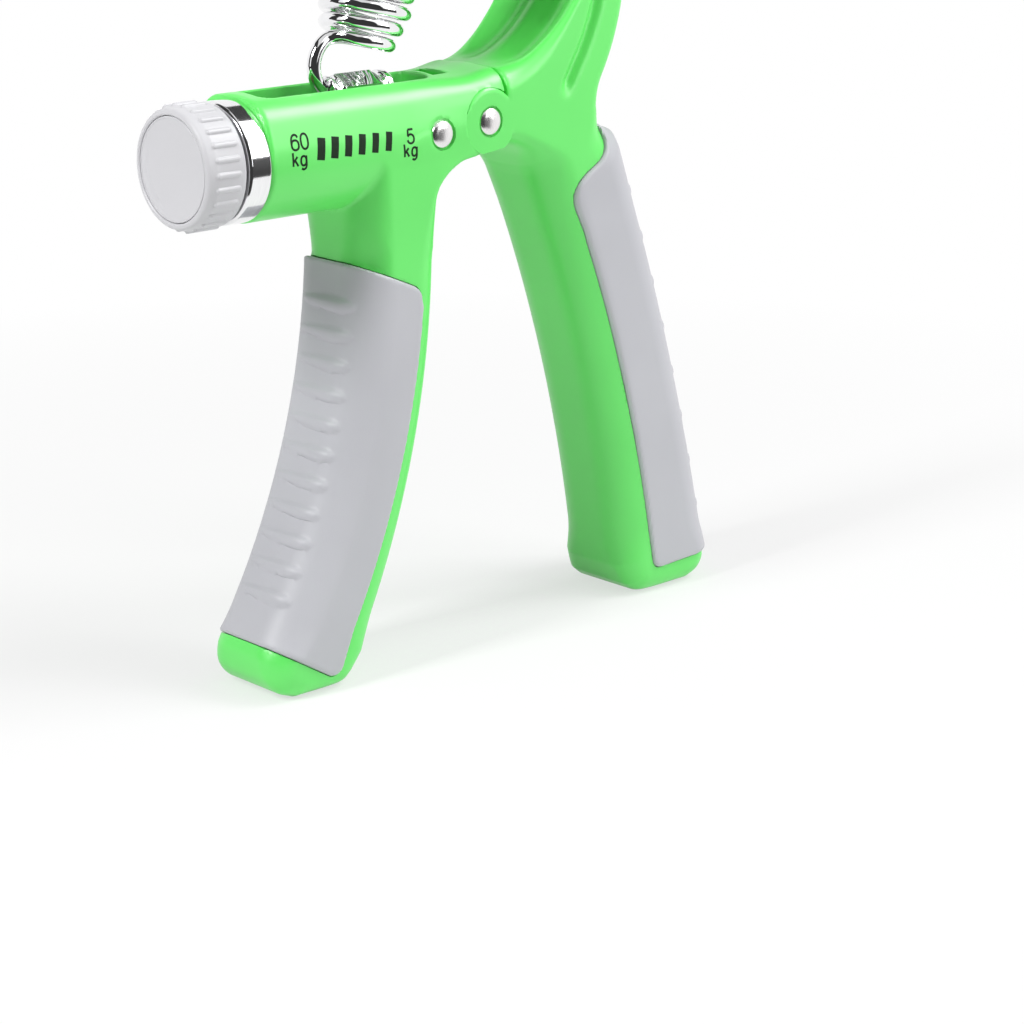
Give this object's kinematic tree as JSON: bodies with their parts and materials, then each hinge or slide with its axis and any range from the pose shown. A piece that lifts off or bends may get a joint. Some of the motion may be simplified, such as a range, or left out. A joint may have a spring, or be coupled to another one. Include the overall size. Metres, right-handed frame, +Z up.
{
  "type": "hand grip strengthener",
  "caption": "Spring-loaded hand grip strengthener: two hinged handles with ridged grip covers, an arch over the hinge and a knob that moves the spring's foot along a slotted barrel.",
  "frame": {"origin": "point on the ground under the middle of the object, which stands on its two feet", "axes": "+X along the adjuster barrel from the knob to the hinge, +Y along the hinge pin, +Z up"},
  "size_m": [0.1417, 0.0258, 0.1659],
  "materials": {
    "green_shell": "satin moulded plastic",
    "grey_cover": "matte soft-touch plastic",
    "grey_knob": "matte plastic",
    "chrome": "bright plating",
    "steel": "plain machined steel",
    "brass": "plain machined brass"
  },
  "bodies": {
    "front": {"front_handle": "green_shell", "front_grip": "grey_cover", "knob_ferrule": "chrome", "screw_bush": "brass", "screw_end_bearing": "steel", "bearing_rivet": "chrome", "bearing_rivet_cap": "chrome", "pivot_bush": "steel"},
    "rear": {"rear_handle": "green_shell", "rear_grip": "grey_cover", "pivot_rivet": "chrome", "pivot_rivet_cap": "chrome", "pivot_washers": "steel", "spring_anchor_pin": "steel"},
    "knob": {"knob": "grey_knob", "knob_face_cap": "grey_knob", "knob_clamp_screw": "steel", "adjusting_screw": "steel", "thrust_washer": "steel"},
    "carrier": {"spring_carrier": "chrome", "travel_nut": "brass", "tension_spring": "chrome"}
  },
  "joints": [
    {"name": "squeeze", "type": "hinge", "parent": "front", "child": "rear", "pos_m": [0.0004, 0, 0.112], "axis": [0, 1, 0], "range_deg": [0, 36], "stiffness_Nm_per_rad": 3, "springref_deg": -28.65, "deforming": ["tension_spring"]},
    {"name": "knob_turn", "type": "hinge", "parent": "front", "child": "knob", "pos_m": [-0.06, 0, 0.109], "axis": [1, 0, 0], "range_deg": [-1800, 900]},
    {"name": "carrier_slide", "type": "slide", "parent": "front", "child": "carrier", "axis": [1, 0, 0], "range_m": [-0.01, 0.005], "deforming": ["tension_spring"]}
  ],
  "couplings": [
    {"joint": "knob_turn", "follows": "carrier_slide", "rad_per_m": 3141.6}
  ]
}
